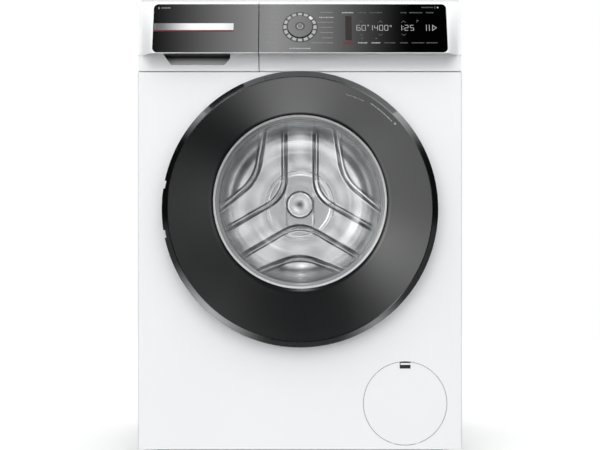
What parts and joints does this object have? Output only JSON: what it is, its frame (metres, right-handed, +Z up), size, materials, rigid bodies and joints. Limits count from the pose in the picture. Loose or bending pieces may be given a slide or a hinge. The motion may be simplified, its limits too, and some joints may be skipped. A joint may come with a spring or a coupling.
{
  "type": "front load washing machine",
  "caption": "White front-loading washing machine with a slanted dark control panel, central dial, detergent drawer, large dark round door, service flap, sprung tub and belt-driven drum.",
  "frame": {"origin": "on the floor under the middle of the machine, at the bottom centre of its bounding box", "axes": "+X to the right seen from the front, -Y the front where the door is, +Z up; the drum turns about an axis along Y"},
  "size_m": [0.598, 0.633, 0.852],
  "materials": {
    "white_enamel": "smooth white enamelled steel",
    "galvanised_steel": "zinc-coated steel",
    "white_laminate": "white laminate on board",
    "white_plastic": "satin white moulding",
    "black_gloss": "glossy black",
    "light_ring_plastic": "translucent light guide",
    "circuit_board": "green board with parts",
    "grey_plastic": "grey moulding",
    "tub_plastic": "glass-filled light grey moulding",
    "dark_plastic": "dark moulding",
    "grey_rubber": "grey moulded rubber",
    "black_rubber": "black rubber",
    "door_gloss_dark": "dark glossy ring",
    "chrome_trim": "bright plated trim",
    "clear_glass": "clear pressed glass",
    "stainless": "stainless steel",
    "cast_aluminium": "raw casting",
    "concrete": "cast concrete",
    "zinc_steel": "zinc-plated steel",
    "motor_metal": "cast housing"
  },
  "bodies": {
    "cabinet": {"base_pan": "grey_plastic", "side_panel_left": "white_enamel", "side_panel_right": "white_enamel", "rear_panel": "galvanised_steel", "rear_cover": "galvanised_steel", "front_panel": "white_enamel", "filter_tray": "white_plastic", "front_crossbar": "galvanised_steel", "worktop": "white_laminate", "fascia": "white_plastic", "display_screen": "black_gloss", "dial_ring": "light_ring_plastic", "control_board": "circuit_board", "dispenser_housing": "tub_plastic", "inlet_valve": "grey_plastic", "inlet_hose": "black_rubber", "dispenser_hose": "black_rubber", "sump_hose": "black_rubber", "drain_pump": "dark_plastic", "drain_pipe": "grey_plastic", "door_hinge_bracket": "cast_aluminium", "door_lock": "dark_plastic", "door_gasket": "grey_rubber", "mains_inlet": "dark_plastic", "damper_cylinders": "dark_plastic", "suspension_springs": "zinc_steel", "cabinet_screws": "zinc_steel"},
    "foot_front_left": {"foot_front_left": "dark_plastic"},
    "foot_front_right": {"foot_front_right": "dark_plastic"},
    "foot_rear_left": {"foot_rear_left": "dark_plastic"},
    "foot_rear_right": {"foot_rear_right": "dark_plastic"},
    "door": {"door_ring": "door_gloss_dark", "door_bezel": "chrome_trim", "door_frame": "white_plastic", "door_glass": "clear_glass", "door_hinge_arm": "cast_aluminium", "door_hook": "zinc_steel"},
    "drawer": {"drawer_front": "white_plastic", "drawer_screen": "black_gloss", "drawer_tray": "white_plastic"},
    "program_dial": {"program_dial": "black_gloss"},
    "power_button": {"power_button": "black_gloss"},
    "service_flap": {"service_flap": "white_plastic"},
    "pump_filter": {"pump_filter": "white_plastic"},
    "tub": {"tub_front": "tub_plastic", "tub_rear": "tub_plastic", "heater": "stainless", "counterweight_front": "concrete", "counterweight_top": "concrete", "motor": "motor_metal", "damper_rods": "zinc_steel", "shaft_bearings": "zinc_steel", "drive_belt": "black_rubber"},
    "drum": {"drum_shell": "stainless", "drum_rear_wall": "stainless", "hub_cap": "chrome_trim", "drum_lifters": "grey_plastic", "drum_spider": "cast_aluminium", "drum_pulley": "cast_aluminium"},
    "motor_rotor": {"motor_pulley": "zinc_steel"}
  },
  "joints": [
    {"name": "door_hinge", "type": "hinge", "parent": "cabinet", "child": "door", "pos_m": [-0.232, -0.3015, 0.462], "axis": [0, 0, -1], "range_deg": [0, 165]},
    {"name": "drawer_slide", "type": "slide", "parent": "cabinet", "child": "drawer", "axis": [0, -1, 0], "range_m": [0, 0.22]},
    {"name": "dial_turn", "type": "hinge", "parent": "cabinet", "child": "program_dial", "pos_m": [0, -0.29181, 0.79523], "axis": [0, -0.9048, 0.4258], "continuous": true},
    {"name": "button_press", "type": "slide", "parent": "cabinet", "child": "power_button", "axis": [0, 0.9048, -0.4258], "range_m": [0, 0.0015], "stiffness_N_per_m": 500, "springref_m": -0.001},
    {"name": "flap_hinge", "type": "hinge", "parent": "cabinet", "child": "service_flap", "pos_m": [0.1938, -0.2724, 0.031], "axis": [1, 0, 0], "range_deg": [0, 95]},
    {"name": "filter_turn", "type": "hinge", "parent": "cabinet", "child": "pump_filter", "pos_m": [0.1938, -0.25, 0.096], "axis": [0, 1, 0], "range_deg": [0, 180]},
    {"name": "tub_bounce", "type": "slide", "parent": "cabinet", "child": "tub", "axis": [0, 0, 1], "range_m": [-0.015, 0.01], "stiffness_N_per_m": 18000, "springref_m": 0.024, "deforming": ["suspension_springs", "dispenser_hose", "sump_hose", "door_gasket"]},
    {"name": "drum_spin", "type": "hinge", "parent": "tub", "child": "drum", "pos_m": [0, 0, 0.476], "axis": [0, 1, 0], "continuous": true},
    {"name": "motor_spin", "type": "hinge", "parent": "tub", "child": "motor_rotor", "pos_m": [0, 0.25, 0.138], "axis": [0, 1, 0], "continuous": true},
    {"name": "foot_front_left_height", "type": "slide", "parent": "cabinet", "child": "foot_front_left", "axis": [0, 0, -1], "range_m": [0, 0.015]},
    {"name": "foot_front_right_height", "type": "slide", "parent": "cabinet", "child": "foot_front_right", "axis": [0, 0, -1], "range_m": [0, 0.015]},
    {"name": "foot_rear_left_height", "type": "slide", "parent": "cabinet", "child": "foot_rear_left", "axis": [0, 0, -1], "range_m": [0, 0.015]},
    {"name": "foot_rear_right_height", "type": "slide", "parent": "cabinet", "child": "foot_rear_right", "axis": [0, 0, -1], "range_m": [0, 0.015]}
  ],
  "couplings": [
    {"joint": "motor_spin", "follows": "drum_spin", "ratio": 12.5}
  ]
}
